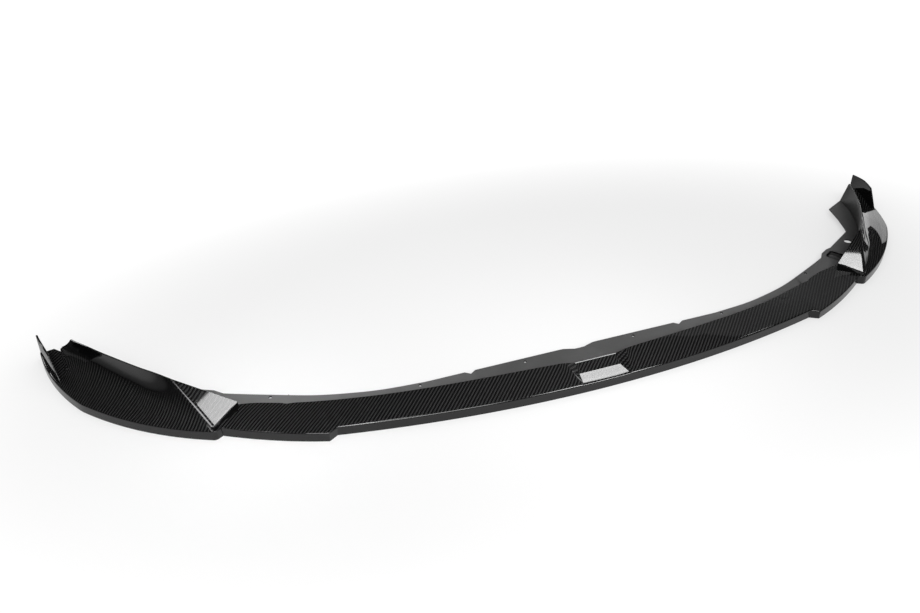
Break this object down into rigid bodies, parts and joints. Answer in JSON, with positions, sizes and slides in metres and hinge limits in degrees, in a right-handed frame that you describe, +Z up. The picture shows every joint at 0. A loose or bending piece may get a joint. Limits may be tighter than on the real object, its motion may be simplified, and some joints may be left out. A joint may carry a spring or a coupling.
{
  "type": "front splitter lip",
  "caption": "One-piece carbon-fibre front splitter lip with a raised band, a central scoop, dished upswept ends with air slots and fins, and a flat screw flange behind.",
  "frame": {"origin": "on the floor under the lip, at the middle of its length and of its depth", "axes": "X along the lip across the car, +Y towards the rear of the car, +Z up"},
  "size_m": [1.8508, 0.459, 0.0781],
  "materials": {
    "carbon_skin": "clear-coated twill carbon fibre, satin on the rim and the flange"
  },
  "bodies": {
    "root": {"front_lip": "carbon_skin"}
  },
  "joints": []
}
